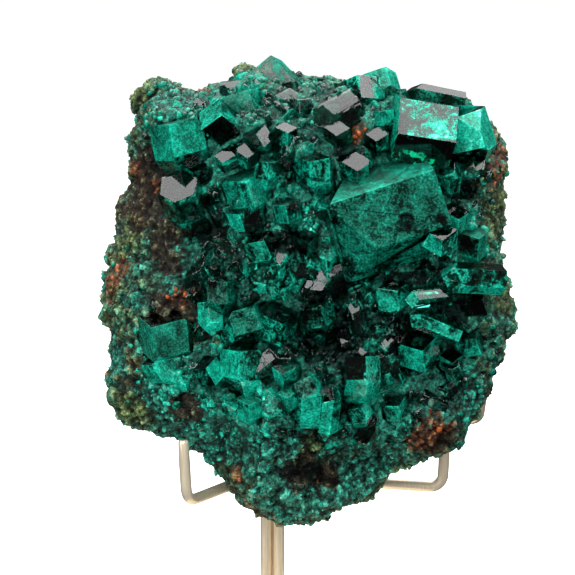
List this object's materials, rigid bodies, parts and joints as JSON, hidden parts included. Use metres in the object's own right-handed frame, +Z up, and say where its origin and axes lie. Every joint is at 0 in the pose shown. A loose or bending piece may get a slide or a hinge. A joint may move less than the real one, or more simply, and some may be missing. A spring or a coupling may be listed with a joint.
{
  "type": "dioptase crystal specimen on a wire stand",
  "caption": "Cabinet specimen of dioptase: stubby deep-green crystals crowded on a crusted gossan rock, held upright by a stand of bent metal rods on a round foot.",
  "frame": {"origin": "centre of the underside of the stand's round base", "axes": "+Z up through the stem, -Y towards the viewer, the side that the crystals face"},
  "size_m": [0.0743, 0.0642, 0.1103],
  "materials": {
    "dioptase": "vitreous crystal faces, clear deep green in places and frosted teal in others",
    "gossan": "rough nubbly crust of tiny green crystals over olive and rust-brown rock",
    "rod_metal": "satin champagne-coloured metal rod",
    "base_metal": "satin champagne-coloured metal plate"
  },
  "bodies": {
    "root": {"back_rod": "rod_metal", "cluster_broad_front": "dioptase", "cluster_giant_ridge": "dioptase", "cluster_low_left_big": "dioptase", "cluster_right_shelf": "dioptase", "cluster_round_core": "dioptase", "cluster_side_dark": "dioptase", "cluster_tall_rhomb": "dioptase", "cluster_teal_twin": "dioptase", "cluster_teal_wedge": "dioptase", "cluster_thin_green": "dioptase", "cluster_top_blade": "dioptase", "cluster_vein_stub": "dioptase", "crystal_dark_side": "dioptase", "crystal_finger_low": "dioptase", "crystal_foot_right": "dioptase", "crystal_left_low_ridge": "dioptase", "crystal_left_mid": "dioptase", "crystal_right_corner": "dioptase", "crystal_top_bead": "dioptase", "crystal_under_ridge": "dioptase", "left_rod": "rod_metal", "matrix_rock": "gossan", "right_rod": "rod_metal", "stand_base": "base_metal"}
  },
  "joints": []
}
